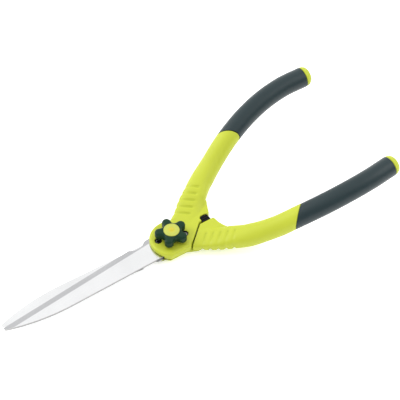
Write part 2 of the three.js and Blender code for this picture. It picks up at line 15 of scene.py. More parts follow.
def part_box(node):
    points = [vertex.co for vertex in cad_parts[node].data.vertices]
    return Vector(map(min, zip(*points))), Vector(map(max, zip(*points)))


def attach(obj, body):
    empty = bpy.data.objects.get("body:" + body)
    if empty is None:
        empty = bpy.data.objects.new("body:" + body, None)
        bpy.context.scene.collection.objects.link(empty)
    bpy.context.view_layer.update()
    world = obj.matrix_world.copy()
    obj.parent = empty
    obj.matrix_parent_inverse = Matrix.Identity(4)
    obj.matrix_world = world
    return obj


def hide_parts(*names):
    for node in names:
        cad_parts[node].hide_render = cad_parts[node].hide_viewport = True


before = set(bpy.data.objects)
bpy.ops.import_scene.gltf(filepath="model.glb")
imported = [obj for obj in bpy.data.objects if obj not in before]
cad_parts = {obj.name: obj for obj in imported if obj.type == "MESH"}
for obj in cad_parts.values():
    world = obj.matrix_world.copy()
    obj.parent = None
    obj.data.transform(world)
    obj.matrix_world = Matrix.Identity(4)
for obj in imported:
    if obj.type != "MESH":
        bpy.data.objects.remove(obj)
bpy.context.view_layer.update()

MM = 0.001


def reach(node):
    """A CAD node's lowest and highest corner, in millimetres."""
    low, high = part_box(node)
    return Vector(low) / MM, Vector(high) / MM


# ---- driving dimensions, in millimetres -----------------------------------------------------------

GAP = 0.3
BLADE_PLANE = 9.5
BLADE_THICKNESS = 3.0
HUB_TOP = reach("pivot_bush")[1].z
THROUGH = (-5, 40)                # a cut between these heights goes right through both hubs
BOLT_SHAFT, BORE = 4.0, 4.3       # radii of the bolt's shaft and of what turns on it
BUSH_HOLE, BOLT_HEAD_HOLE, SHANK_HOLE, SQUARE_HOLE = 6.3, 9.7, 2.8, 4.3

BLADE_TIP = reach("front_blade")[1].x
EDGE_ROOT, EDGE_TIP = 23.9, -0.9
SPINE, SPINE_TAPER, SPINE_CURVE_START, SPINE_BEND, TIP_WIDTH = 16.4, 0.0195, 165.0, 2.1, 5.0
BEVEL_WIDTH, EDGE_LAND = 8.9, 0.4
NOTCH_START, NOTCH_FLOOR_START, NOTCH_FLOOR_END, NOTCH_END, NOTCH_FLOOR = 30.0, 41.0, 52.0, 58.0, 13.5

GRIP_RADIUS, GRIP_WALL, GRIP_START_X, GRIP_SLANT = 14.7, 2.6, -149.0, math.radians(-30)
ROOT_HALF_WIDTH, ROOT_HALF_HEIGHT, ROOT_SQUARENESS = 17.0, 6.9, 3.4
RIB_COUNT, RIB_FIRST_X, RIB_END_X, RIB_PITCH = 5, -39.0, -84.0, 8.6
RIB_DEPTH, RIB_WIDTH, RIB_LEAN, RIB_SHALLOW = 2.1, 4.0, 0.25, math.radians(40)

SEAM_ANGLE, SEAM_FLANK, SEAM_SHOULDER, SEAM_LENGTH = math.radians(132), 29.5, 31.4, 32.1
SKIRT_WIDTH, SKIRT_FROM_SPINE = 7.0, 2.2
LUG_FACE, CROTCH_X, SHOULDER_LOW = 1.5, -67.5, 2.2
SCREW_DISTANCE, SCREW_ANGLE, SCREW_RECESS, SCREW_RECESS_DEPTH = 19.0, math.radians(13.4), 4.8, 3.8

WEB_REACH, WEB_SPAN = 3.5, (30, 46, 50, 66)
WAIST_REACH, WAIST_SPAN = 1.2, (58, 74, 78, 94)
SWELL_REACH, SWELL_SPAN = 2.2, (38, 60, 80, 118)

HANDLE_LINE = [Vector(p) for p in (
    (-26, 15, 3.6), (-36, 22, 4.4), (-55, 35.5, 8.2), (-72.5, 47.3, 12), (-90, 59, 16.2),
    (-119, 74, 27.3), (-148, 85, 41), (-183, 95, 54), (-218, 101, 63.5), (-253, 103, 69.3),
    (-287.5, 101, 71.8))]


class Arm:
    """One of the two arms: its name, the side of the blade plane its hub is on, and its heights."""

    def __init__(self, name, outward, hub_radius, hub_round, hub_straight):
        self.name = name
        self.outward = outward
        self.mirror = outward > 0
        self.body = f"{name}_arm"
        self.hub_radius = hub_radius
        self.hub_round = hub_round
        self.hub_straight = hub_straight
        self.flat = BLADE_PLANE + outward * GAP / 2
        self.blade_back = self.flat + outward * BLADE_THICKNESS
        self.hub_inner = self.blade_back + outward * GAP
        self.hub_outer = HUB_TOP if outward > 0 else 0.0
        self.skirt_inner = hub_radius - SKIRT_WIDTH


REAR = Arm("rear", -1, 28.8, (8.5, 5.8), (math.radians(90), 23.6))
FRONT = Arm("front", 1, 30.6, (4.0, 3.6), (math.radians(-90), 26.2))


# ---- curve and mesh helpers -----------------------------------------------------------------------

def smoothstep(low, high, value):
    t = min(1.0, max(0.0, (value - low) / (high - low)))
    return t * t * (3 - 2 * t)


def bump(span, value):
    """Rises from 0 to 1 over the first two values of the span, and falls back over the last two."""
    return smoothstep(span[0], span[1], value) * (1 - smoothstep(span[2], span[3], value))


def mix(a, b, t):
    return a + (b - a) * t


def spline_point(points, t):
    """A centripetal Catmull-Rom spline through the points; t runs from 0 to 1."""
    place = t * (len(points) - 1)
    i = min(int(place), len(points) - 2)
    p1, p2 = points[i], points[i + 1]
    p0 = points[i - 1] if i > 0 else 2 * p1 - p2
    p3 = points[i + 2] if i + 2 < len(points) else 2 * p2 - p1
    d0, d1, d2 = ((b - a).length ** 0.5 for a, b in ((p0, p1), (p1, p2), (p2, p3)))
    t1 = ((p1 - p0) / d0 - (p2 - p0) / (d0 + d1) + (p2 - p1) / d1) * d1
    t2 = ((p2 - p1) / d1 - (p3 - p1) / (d1 + d2) + (p3 - p2) / d2) * d1
    w = place - i
    return (p1 + t1 * w + (3 * (p2 - p1) - 2 * t1 - t2) * w * w
            + (2 * (p1 - p2) + t1 + t2) * w ** 3)


class Line:
    """The handle's centre line, sampled evenly enough to be asked by length or by x."""

    def __init__(self, points, samples=2400):
        lift = Vector((0, 0, BLADE_PLANE))
        self.points = [spline_point(points, i / samples) + lift for i in range(samples + 1)]
        self.lengths = [0.0]
        for a, b in zip(self.points, self.points[1:]):
            self.lengths.append(self.lengths[-1] + (b - a).length)
        self.length = self.lengths[-1]

    def index(self, length):
        low, high = 0, len(self.lengths) - 1
        while high - low > 1:
            middle = (low + high) // 2
            if self.lengths[middle] < length:
                low = middle
            else:
                high = middle
        return low

    def at(self, length):
        """The point and the direction at a length along the line."""
        i = self.index(length)
        span = self.lengths[i + 1] - self.lengths[i]
        point = self.points[i].lerp(self.points[i + 1], (length - self.lengths[i]) / span)
        return point, (self.points[i + 1] - self.points[i]).normalized()

    def length_at_x(self, x):
        return next(s for p, s in zip(self.points, self.lengths) if p.x <= x)


LINE = Line(HANDLE_LINE)
LINE_END = LINE.length - 0.01


def finish_object(name, mesh, materials, smooth_angle=None):
    """A shaded object from a mesh; smooth_angle keeps sharper edges crisp."""
    obj = bpy.data.objects.new(name, mesh)
    bpy.context.scene.collection.objects.link(obj)
    for material in materials:
        mesh.materials.append(material)
    mesh.shade_smooth()
    if smooth_angle is not None:
        mesh.set_sharp_from_angle(angle=math.radians(smooth_angle))
    return obj


def mesh_from(points, faces, mirror=False):
    """A closed mesh in metres from points in millimetres, its faces turned outwards."""
    side = -1 if mirror else 1
    mesh = bpy.data.meshes.new("part")
    mesh.from_pydata([(p[0] * MM, side * p[1] * MM, p[2] * MM) for p in points], [], faces)
    bm = bmesh.new()
    bm.from_mesh(mesh)
    bmesh.ops.recalc_face_normals(bm, faces=bm.faces)
    bm.to_mesh(mesh)
    bm.free()
    return mesh


def loft(rings, lids=True):
    """Points and faces that skin a row of rings, each of as many points."""
    points = [p for ring in rings for p in ring]
    n = len(rings[0])
    faces = [(r * n + i, r * n + (i + 1) % n, (r + 1) * n + (i + 1) % n, (r + 1) * n + i)
             for r in range(len(rings) - 1) for i in range(n)]
    if lids:
        last = (len(rings) - 1) * n
        faces += [tuple(range(n))[::-1], tuple(range(last, last + n))]
    return points, faces


def turned(profile, segments=96):
    """Points and faces of a profile of (radius, height) pairs turned about Z; radius 0 closes it."""
    points, faces, rows = [], [], []
    for radius, height in profile:
        if radius <= 0:
            rows.append([len(points)])
            points.append((0.0, 0.0, height))
            continue
        rows.append(list(range(len(points), len(points) + segments)))
        for i in range(segments):
            angle = 2 * math.pi * i / segments
            points.append((radius * math.cos(angle), radius * math.sin(angle), height))
    for low, high in zip(rows, rows[1:] if len(rows[0]) == 1 else rows[1:] + rows[:1]):
        for i in range(segments):
            j = (i + 1) % segments
            corners = [low[i % len(low)], low[j % len(low)], high[j % len(high)], high[i % len(high)]]
            faces.append(tuple(dict.fromkeys(corners)))
    return points, faces


def moved(shape, x, y):
    points, faces = shape
    return [(p[0] + x, p[1] + y, p[2]) for p in points], faces


def together(*shapes):
    points, faces = [], []
    for more, corners in shapes:
        start = len(points)
        points += list(more)
        faces += [tuple(start + c for c in face) for face in corners]
    return points, faces


def arc(x, y, radius, start, end, steps):
    return [(x + radius * math.cos(mix(start, end, i / steps)),
             y + radius * math.sin(mix(start, end, i / steps))) for i in range(steps + 1)]


def rounded(corners, steps=6):
    """A plan outline from corners (x, y, cut), each rounded over the length cut of its edges."""
    outline = []
    for i, (x, y, cut) in enumerate(corners):
        corner = Vector((x, y))
        if cut == 0:
            outline.append((x, y))
            continue
        before = Vector(corners[i - 1][:2])
        after = Vector(corners[(i + 1) % len(corners)][:2])
        enter = corner + (before - corner).normalized() * cut
        leave = corner + (after - corner).normalized() * cut
        for s in range(steps + 1):
            w = s / steps
            outline.append(tuple(enter * (1 - w) ** 2 + corner * 2 * w * (1 - w) + leave * w * w))
    return outline


def inset(outline, amount):
    """The outline drawn further in; it runs counter-clockwise."""
    result = []
    for i, (x, y) in enumerate(outline):
        arrive = (Vector((x, y)) - Vector(outline[i - 1])).normalized()
        leave = (Vector(outline[(i + 1) % len(outline)]) - Vector((x, y))).normalized()
        inward = Vector((-arrive.y - leave.y, arrive.x + leave.x)).normalized()
        result.append((x + inward.x * amount, y + inward.y * amount))
    return result


def counter_clockwise(outline):
    area = sum(a[0] * b[1] - b[0] * a[1] for a, b in zip(outline, outline[1:] + outline[:1]))
    return outline if area > 0 else outline[::-1]


def slab(outline, profile):
    """A flat solid over a plan outline; profile is a list of (inset, height) levels."""
    plan = counter_clockwise(outline)
    return loft([[(x, y, height) for x, y in inset(plan, amount)] for amount, height in profile])


def quarter(amount, low, high, steps=5):
    """Levels for slab() that round both edges by the amount."""
    bottom, top = [], []
    for i in range(steps + 1):
        angle = math.pi / 2 * i / steps
        bottom.append((amount * (1 - math.sin(angle)), low + amount * (1 - math.cos(angle))))
        top.append((amount * (1 - math.cos(angle)), high - amount * (1 - math.sin(angle))))
    return bottom + top


def apply_modifiers(obj):
    """Bakes an object's modifiers into its mesh."""
    graph = bpy.context.evaluated_depsgraph_get()
    baked = bpy.data.meshes.new_from_object(obj.evaluated_get(graph), depsgraph=graph)
    obj.modifiers.clear()
    old = obj.data
    obj.data = baked
    bpy.data.meshes.remove(old)


def combine(obj, shapes, operation, mirror=False):
    """Joins shapes to obj or cuts them from it, exactly."""
    for shape in shapes:
        cutter = bpy.data.objects.new("cutter", mesh_from(*shape, mirror=mirror))
        bpy.context.scene.collection.objects.link(cutter)
        modifier = obj.modifiers.new("cut", "BOOLEAN")
        modifier.operation = operation
        modifier.solver = "EXACT"
        modifier.object = cutter
        apply_modifiers(obj)
        bpy.data.objects.remove(cutter)


def soften_edges(obj, width, segments, angle):
    modifier = obj.modifiers.new("edges", "BEVEL")
    modifier.width = width * MM
    modifier.segments = segments
    modifier.limit_method = "ANGLE"
    modifier.angle_limit = math.radians(angle)
    apply_modifiers(obj)


def piece(obj, body, nodes):
    """Declares which CAD nodes a finished piece stands for and how it moves."""
    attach(obj, body)
    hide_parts(*nodes)
    return obj


# ---- materials ------------------------------------------------------------------------------------

def linear(r, g, b):
    """Linear colour from an sRGB one in 0 to 255."""
    def channel(value):
        value /= 255
        return value / 12.92 if value <= 0.04045 else ((value + 0.055) / 1.055) ** 2.4
    return (channel(r), channel(g), channel(b), 1.0)


class Nodes:
    """A node material under construction, with its Principled shader."""

    def __init__(self, name, roughness, metallic=0.0):
        self.material = bpy.data.materials.new(name)
        self.material.use_nodes = True
        self.tree = self.material.node_tree
        self.shader = self.tree.nodes["Principled BSDF"]
        self.shader.inputs["Roughness"].default_value = roughness
        self.shader.inputs["Metallic"].default_value = metallic
        self.coordinates = self.add("ShaderNodeTexCoord").outputs["Object"]

    def add(self, kind, **settings):
        node = self.tree.nodes.new(kind)
        for key, value in settings.items():
            setattr(node, key, value)
        return node

    def link(self, output, socket):
        self.tree.links.new(output, socket)

    def stretched(self, x, y, z, turn=0.0):
        """Object coordinates scaled per axis, so that a texture runs along one of them."""
        mapping = self.add("ShaderNodeMapping")
        mapping.inputs["Scale"].default_value = (x, y, z)
        mapping.inputs["Rotation"].default_value = (0, 0, turn)
        self.link(self.coordinates, mapping.inputs["Vector"])
        return mapping.outputs["Vector"]

    def noise(self, scale, detail=4.0, vector=None, roughness=0.55):
        node = self.add("ShaderNodeTexNoise")
        node.inputs["Scale"].default_value = scale
        node.inputs["Detail"].default_value = detail
        node.inputs["Roughness"].default_value = roughness
        self.link(vector or self.coordinates, node.inputs["Vector"])
        return node.outputs["Fac"]

    def ramp(self, value, low, high, from_value=0.3, to_value=0.7):
        """Maps a value to a range of numbers."""
        node = self.add("ShaderNodeMapRange")
        node.inputs["From Min"].default_value = from_value
        node.inputs["From Max"].default_value = to_value
        node.inputs["To Min"].default_value = low
        node.inputs["To Max"].default_value = high
        self.link(value, node.inputs["Value"])
        return node.outputs["Result"]

    def blend(self, factor, first, second):
        """A colour between two, each a colour or another node's output."""
        node = self.add("ShaderNodeMix", data_type="RGBA")
        self.link(factor, node.inputs["Factor"])
        for socket, colour in zip((node.inputs[6], node.inputs[7]), (first, second)):
            if isinstance(colour, tuple):
                socket.default_value = colour
            else:
                self.link(colour, socket)
        return node.outputs[2]

    def colour(self, output):
        self.link(output, self.shader.inputs["Base Color"])

    def roughness(self, output):
        self.link(output, self.shader.inputs["Roughness"])

    def bump(self, height, strength, distance):
        node = self.add("ShaderNodeBump")
        node.inputs["Strength"].default_value = strength
        node.inputs["Distance"].default_value = distance * MM
        self.link(height, node.inputs["Height"])
        previous = self.shader.inputs["Normal"]
        if previous.is_linked:
            self.link(previous.links[0].from_socket, node.inputs["Normal"])
        self.link(node.outputs["Normal"], previous)


def moulded_plastic(name, shade, groove_shade, roughness, grain, shine):
    """Moulded plastic: a fine spark-eroded grain, slow colour drift, and painted shade that darkens grooves
    and creases.
    """
    n = Nodes(name, roughness)
    drift = n.noise(14, detail=3)
    body = n.blend(n.ramp(drift, 0.0, 1.0), shade, tuple(0.93 * c for c in shade[:3]) + (1.0,))
    # Painted shade: concave grooves and creases are blended towards the second, darker colour.
    groove_shade_mask = n.add("ShaderNodeNewGeometry").outputs["Pointiness"]
    n.colour(n.blend(n.ramp(groove_shade_mask, 1.0, 0.0, 0.42, 0.495), body, groove_shade))
    n.roughness(n.ramp(n.noise(420, detail=2), roughness - 0.05, roughness + 0.07))
    n.bump(n.noise(1500, detail=2), 0.25 * grain, 0.06)
    n.bump(n.noise(60, detail=2), 0.12 * grain, 0.3)
    n.shader.inputs["Specular IOR Level"].default_value = shine
    return n.material


def soft_rubber(name, shade, light, roughness, grain, shine):
    """Soft-touch rubber: matte, faintly pebbled, with a dusty mottle in random patches."""
    n = Nodes(name, roughness)
    dust = n.noise(38, detail=6, roughness=0.7)
    n.colour(n.blend(n.ramp(dust, 0.0, 0.5), shade, light))
    n.roughness(n.ramp(n.noise(260, detail=3), roughness - 0.06, roughness + 0.08))
    cells = n.add("ShaderNodeTexVoronoi")
    cells.inputs["Scale"].default_value = 1100
    n.link(n.coordinates, cells.inputs["Vector"])
    n.bump(cells.outputs["Distance"], 0.3 * grain, 0.08)
    n.shader.inputs["Specular IOR Level"].default_value = shine
    return n.material


def ground_steel(name, shade, roughness, along):
    """Ground steel: fine scratches along one direction (0 is along the blade, 90 across it)."""
    n = Nodes(name, roughness, metallic=1.0)
    lines = n.stretched(28, 2600, 2600, math.radians(along))
    scratches = n.noise(1, detail=5, vector=lines, roughness=0.7)
    clouds = n.noise(22, detail=3)
    n.colour(n.blend(n.ramp(clouds, 0.0, 1.0), shade, tuple(0.93 * c for c in shade[:3]) + (1.0,)))
    n.roughness(n.ramp(scratches, roughness - 0.05, roughness + 0.1))
    n.bump(scratches, 0.12, 0.02)
    n.shader.inputs["Anisotropic"].default_value = 0.4
    return n.material


def turned_metal(name, shade, dull, roughness):
    """Plated or oxidised turned metal with faint clouding and handling marks."""
    n = Nodes(name, roughness, metallic=1.0)
    n.colour(n.blend(n.ramp(n.noise(160, detail=5), 0.0, 1.0), shade, dull))
    n.roughness(n.ramp(n.noise(700, detail=3), roughness - 0.06, roughness + 0.12))
    n.bump(n.noise(900, detail=3), 0.1, 0.03)
    return n.material


def lime_disc(shade, middle):
    """The cap's lime plastic, yellower towards its centre."""
    n = Nodes("cap_lime", 0.4)
    split = n.add("ShaderNodeSeparateXYZ")
    n.link(n.coordinates, split.inputs["Vector"])
    flat = n.add("ShaderNodeCombineXYZ")
    n.link(split.outputs["X"], flat.inputs["X"])
    n.link(split.outputs["Y"], flat.inputs["Y"])
    distance = n.add("ShaderNodeVectorMath", operation="LENGTH")
    n.link(flat.outputs["Vector"], distance.inputs[0])
    near = n.ramp(distance.outputs["Value"], 1.0, 0.0, 2.0 * MM, 6.0 * MM)
    mottle = n.blend(n.ramp(n.noise(300, detail=4), 0.0, 1.0), shade,
                     tuple(0.9 * c for c in shade[:3]) + (1.0,))
    n.colour(n.blend(near, mottle, middle))
    n.roughness(n.ramp(n.noise(420, detail=2), 0.34, 0.46))
    n.bump(n.noise(1500, detail=2), 0.2, 0.06)
    return n.material


# LIME and KNOB pass a second, darker colour that is painted shade for their grooves and creases.
LIME = moulded_plastic("lime", linear(176, 185, 46), linear(120, 138, 10), 0.46, 1.0, 0.35)
LIME_CAP = lime_disc(linear(174, 180, 66), linear(184, 172, 28))
GRIP = soft_rubber("grip", (0.0015, 0.014, 0.018, 1.0), (0.0045, 0.021, 0.025, 1.0), 0.36, 1.0, 0.42)
KNOB = moulded_plastic("knob_green", (0.002, 0.026, 0.010, 1.0), (0.001, 0.006, 0.003, 1.0), 0.42, 1.0, 0.18)
BUFFER = soft_rubber("buffer_black", (0.001, 0.001, 0.0015, 1.0), (0.003, 0.003, 0.004, 1.0), 0.3, 0.5, 0.16)
BLADE_FLAT = ground_steel("blade_flat", (0.64, 0.645, 0.65, 1.0), 0.2, 0)
# Painted shade: the bevel and the side walls are the same steel as the flats, given darker colours that stand
# in for their darker reflections and shade.
BEVEL_STEEL_SHADED = ground_steel("blade_bevel_painted_shade", (0.40, 0.402, 0.41, 1.0), 0.3, 90)
SPINE_STEEL_SHADED = turned_metal("blade_side", (0.36, 0.36, 0.355, 1.0), (0.3, 0.3, 0.295, 1.0), 0.45)
ZINC = turned_metal("zinc", (0.6, 0.61, 0.62, 1.0), (0.46, 0.47, 0.48, 1.0), 0.32)
BLACK_OXIDE = turned_metal("black_oxide", (0.03, 0.03, 0.03, 1.0), (0.015, 0.015, 0.015, 1.0), 0.4)
GLINT_STEEL = turned_metal("painted_highlight_steel", (0.36, 0.37, 0.36, 1.0), (0.2, 0.2, 0.2, 1.0), 0.25)
BRASS = turned_metal("brass", (0.72, 0.55, 0.26, 1.0), (0.6, 0.45, 0.2, 1.0), 0.3)


# ---- handles --------------------------------------------------------------------------------------

def rib_depth(x, angle):
    """Depth of the finger grooves; an angle of 0 is the outer flank."""
    depth = 0.0
    for i in range(RIB_COUNT):
        offset = abs(x - (RIB_FIRST_X - i * RIB_PITCH)) / (RIB_WIDTH / 2)
        if offset < 1:
            depth = RIB_DEPTH * (1 - offset * offset)
    around = 0.25 + 0.75 * math.sin(angle - RIB_SHALLOW) ** 2
    outer_side = smoothstep(-0.25, -0.05, math.cos(angle))
    not_below = smoothstep(-0.97, -0.75, math.sin(angle))
    return depth * around * outer_side * not_below


def slant_of(along, outer, up):
    """How far a point slides along the handle, per mm outwards and upwards, onto the grip's edge."""
    heading = math.atan2(-along.y, -along.x) + GRIP_SLANT
    across = Vector((math.cos(heading), math.sin(heading), 0))
    scale = -1 / across.dot(along)
    return across.dot(outer) * scale, across.dot(up) * scale


def handle_ring(length, shrink=0.0, slanted=0.0, points=72):
    """One cross-section of the handle, square to it or slanted like the grip's front edge."""
    centre, along = LINE.at(length)
    outer = Vector((along.y, -along.x, 0)).normalized()
    up = along.cross(outer).normalized()
    up = up if up.z > 0 else -up
    roundness = smoothstep(30, 105, -centre.x)
    half_width = mix(ROOT_HALF_WIDTH, GRIP_RADIUS, roundness) - shrink
    half_height = mix(ROOT_HALF_HEIGHT, GRIP_RADIUS, smoothstep(34, 98, -centre.x)) - shrink
    power = 2 / mix(ROOT_SQUARENESS, 2, roundness)
    lean = RIB_LEAN * (1 - smoothstep(76, 92, -centre.x))
    web = bump(WEB_SPAN, -centre.x)
    web_drop = max(0.0, centre.z + half_height - HUB_TOP) * web
    inner_reach = WEB_REACH * web - WAIST_REACH * bump(WAIST_SPAN, -centre.x)
    outer_reach = SWELL_REACH * bump(SWELL_SPAN, -centre.x)
    slant_out, slant_up = slant_of(along, outer, up)
    ring = []
    for i in range(points):
        angle = 2 * math.pi * i / points
        groove = rib_depth(centre.x, angle)
        c, s = math.cos(angle), math.sin(angle)
        width = half_width - groove + (inner_reach if c < 0 else outer_reach)
        across = math.copysign(abs(c) ** power, c) * width
        upward = math.copysign(abs(s) ** power, s) * (half_height - groove)
        if c < 0 < s:
            upward -= web_drop * (across / width) ** 2
        slide = slanted * (slant_out * across + slant_up * upward) - lean * across
        ring.append(centre + outer * across + up * upward + along * slide)
    return ring


GRIP_START = LINE.length_at_x(GRIP_START_X)
SLANT_FADE = 45.0


def slanted_at(length):
    """1 on the grip's slanted front edge, fading to 0 within SLANT_FADE to either side."""
    return 1 - smoothstep(0, SLANT_FADE, abs(length - GRIP_START))


def rod():
    """The lime part of the handle, from inside the hub to the grip's edge."""
    end = GRIP_START - GAP / 2
    ribs_end = LINE.length_at_x(RIB_END_X)
    lengths = [i * ribs_end / 150 for i in range(150)]
    lengths += [mix(ribs_end, end, i / 40) for i in range(41)]
    return loft([handle_ring(length, slanted=slanted_at(length)) for length in lengths])


def core():
    """The handle's core inside the grip."""
    inside_rod = 8
    start = GRIP_START - inside_rod
    lengths = [mix(start, LINE_END, i / 40) for i in range(41)]
    return loft([handle_ring(length, shrink=GRIP_WALL + GAP, points=48) for length in lengths])


def seam_point(distance, along, side):
    """A point on a line that faces the pivot squarely at the distance, along towards the crotch."""
    x = distance * math.cos(SEAM_ANGLE) - along * math.sin(SEAM_ANGLE)
    y = distance * math.sin(SEAM_ANGLE) + along * math.cos(SEAM_ANGLE)
    return x, side * y


def shoulder():
    """The full-height shoulder between the hub and the crotch."""
    lug_x = seam_point(SEAM_SHOULDER, SEAM_LENGTH, 1)[0]
    outline = rounded([
        (*seam_point(SEAM_SHOULDER, -7, 1), 1), (lug_x, LUG_FACE, 1), (CROTCH_X, LUG_FACE, 3),
        (-68.5, 14.5, 8), (-76.5, 29.8, 4), (-64, 42, 2), (-38, 27, 3), (-24, 22, 3)])
    return slab(outline, quarter(1.2, SHOULDER_LOW, HUB_TOP))


def clipped(outline, direction, distance):
    """The part of a plan outline that reaches no further than the distance in one direction."""
    def excess(point):
        return point[0] * math.cos(direction) + point[1] * math.sin(direction) - distance

    result = []
    for a, b in zip(outline, outline[1:] + outline[:1]):
        before, after = excess(a), excess(b)
        if before <= 0:
            result.append(a)
        if (before <= 0) != (after <= 0):
            w = before / (before - after)
            result.append((mix(a[0], b[0], w), mix(a[1], b[1], w)))
    return result


def hub_plan(arm):
    """The hub's round plan with its straight side and its flank along the seam."""
    circle = arc(0, 0, arm.hub_radius, 0, 2 * math.pi, 180)[:-1]
    return clipped(clipped(circle, *arm.hub_straight), -SEAM_ANGLE, SEAM_FLANK)


def hub_disc(arm):
    """The arm's own hub, rounded towards its outer face."""
    width, height = arm.hub_round
    levels = [(0, arm.hub_inner)]
    for i in range(9):
        angle = math.pi / 2 * (1 - i / 8)
        sink = height * (1 - math.cos(angle))
        levels.append((width * (1 - math.sin(angle)), arm.hub_outer - arm.outward * sink))
    return slab(hub_plan(arm), levels)


def hub_flank(arm):
    """The straight flank that carries the disc into the handle and follows the seam."""
    outline = rounded([
        (*seam_point(SEAM_FLANK, 0, -1), 0), (*seam_point(SEAM_FLANK, 35, -1), 1),
        (-48, 22, 0), (-26, 28, 0), (-8, 20, 0)])
    low, high = sorted((arm.hub_inner, arm.hub_outer))
    return slab(outline, quarter(0.8, low, high))


def skirt(arm):
    """The wall that closes the hub beside the blade's spine."""
    outline = clipped(hub_plan(arm), math.pi / 2, -SPINE - SKIRT_FROM_SPINE)
    low, high = sorted((arm.flat, arm.hub_inner + arm.outward * GAP))
    return slab(outline, [(0, low), (0, high)])


def other_arm_room(arm):
    """The layers beyond the blade plane, which the other arm's hub, blade and skirt need."""
    outline = [seam_point(SEAM_SHOULDER, -14, 1), seam_point(SEAM_SHOULDER, 60, 1), (40, -60), (60, 60)]
    low, high = (THROUGH[0], arm.flat) if arm.outward > 0 else (arm.flat, THROUGH[1])
    return slab(outline, [(0, low), (0, high)])


def blade_room(arm):
    """The blade's own layer under the hub disc, open towards the tips."""
    low, high = sorted((arm.flat - arm.outward, arm.hub_inner))
    disc = arc(0, 0, arm.skirt_inner, 0, 2 * math.pi, 95)[:-1]
    return slab(disc, [(0, low), (0, high)])


def screw_places():
    return [(end * SCREW_DISTANCE * math.cos(SCREW_ANGLE), end * SCREW_DISTANCE * math.sin(SCREW_ANGLE))
            for end in (1, -1)]


def round_hole(radius, low, high, x=0.0, y=0.0):
    return moved(turned([(0, low), (radius, low), (radius, high), (0, high)], 64), x, y)


def through_cut(outline):
    """A cutter with a plan outline that goes right through both hubs."""
    return slab(outline, [(0, height) for height in THROUGH])


def buffer_pocket(grow):
    """Plan of the buffer, grown by a margin to make its pocket."""
    low, high = reach("stop_buffer")
    near, far = high.x + grow, low.x - grow
    face, back = -high.y - grow, -low.y + grow
    return rounded([(near, face, 0), (near, back, 5), (far, back, 5), (far, face, 0)], 8)


def crotch_relief():
    """Opens the front arm's crotch round the buffer, so that only the rear arm carries a lug."""
    near = reach("stop_buffer")[1].x + GAP
    return rounded([(near, -20, 0), (near, 7.2, 0), (-66, 7.8, 2), (-69, 15, 3), (-75, 27, 0),
                    (-90, 27, 0), (-90, -20, 0)])


VOXEL = 0.7


def handle(arm):
    """The moulded lime half: rod, shoulder and hub flowed together, then opened for what it holds."""
    shape = together(rod(), core(), shoulder(), hub_disc(arm), hub_flank(arm), skirt(arm))
    obj = finish_object(f"{arm.name}_moulding", mesh_from(*shape), [LIME])
    remesh(obj)
    seat = arm.hub_outer - arm.outward * SCREW_RECESS_DEPTH
    cuts = [other_arm_room(arm), blade_room(arm)]
    for x, y in screw_places():
        low, high = sorted((seat, arm.hub_outer + arm.outward * 8))
        cuts.append(round_hole(SCREW_RECESS, low, high, x, y))
    cuts.append(round_hole(BUSH_HOLE if arm.mirror else BOLT_HEAD_HOLE, *THROUGH))
    if arm.mirror:
        cuts += [through_cut(buffer_pocket(GAP)), through_cut(crotch_relief())]
    combine(obj, cuts, "DIFFERENCE")
    remesh(obj)
    smooth(obj, 3)
    if arm.mirror:
        flip(obj)
    return piece(obj, arm.body, [f"{arm.name}_handle"])


def remesh(obj):
    modifier = obj.modifiers.new("voxels", "REMESH")
    modifier.mode = "VOXEL"
    modifier.voxel_size = VOXEL * MM
    modifier.use_smooth_shade = True
    apply_modifiers(obj)


def smooth(obj, times):
    modifier = obj.modifiers.new("smooth", "SMOOTH")
    modifier.factor = 0.5
    modifier.iterations = times
    apply_modifiers(obj)


def flip(obj):
    """Mirrors a finished mesh across the XZ plane."""
    obj.data.transform(Matrix.Scale(-1, 4, (0, 1, 0)))
    obj.data.flip_normals()


def grip(arm):
    """The soft sleeve: rounded lip at its slanted front edge, snug round the core, rounded at its end."""
    wall, lip, points = GRIP_WALL, 1.4, 96
    bore_lip = wall - 0.1
    start = GRIP_START + GAP
    end = LINE_END
    rings = [handle_ring(start + 0.5, bore_lip, slanted_at(start), points)]
    for i in range(7):
        angle = math.pi / 2 * i / 6
        length = start + lip * (1 - math.sin(angle))
        shrink = lip * (1 - math.cos(math.pi / 2 - angle))
        rings.append(handle_ring(length, shrink, slanted_at(start), points))
    for i in range(1, 151):
        length = mix(start + lip, end - 1, i / 150)
        rings.append(handle_ring(length, 0, slanted_at(length), points))
    for i in range(1, 5):
        angle = math.pi / 2 * i / 4
        rings.append(handle_ring(end - 1 + math.sin(angle), 1 - math.cos(angle), 0, points))
    rings.append(handle_ring(end, bore_lip, 0, points))
    for i in range(60):
        length = mix(end - 0.5, start + 1.0, i / 59)
        rings.append(handle_ring(length, wall, slanted_at(length), points))
    skin = loft(rings + rings[:1], lids=False)
    obj = finish_object(f"{arm.name}_grip_sleeve", mesh_from(*skin, mirror=arm.mirror), [GRIP], 40)
    weld(obj)
    return piece(obj, arm.body, [f"{arm.name}_grip"])


def weld(obj):
    bm = bmesh.new()
    bm.from_mesh(obj.data)
    bmesh.ops.remove_doubles(bm, verts=bm.verts, dist=1e-7)
    bmesh.ops.recalc_face_normals(bm, faces=bm.faces)
    bm.to_mesh(obj.data)
    bm.free()


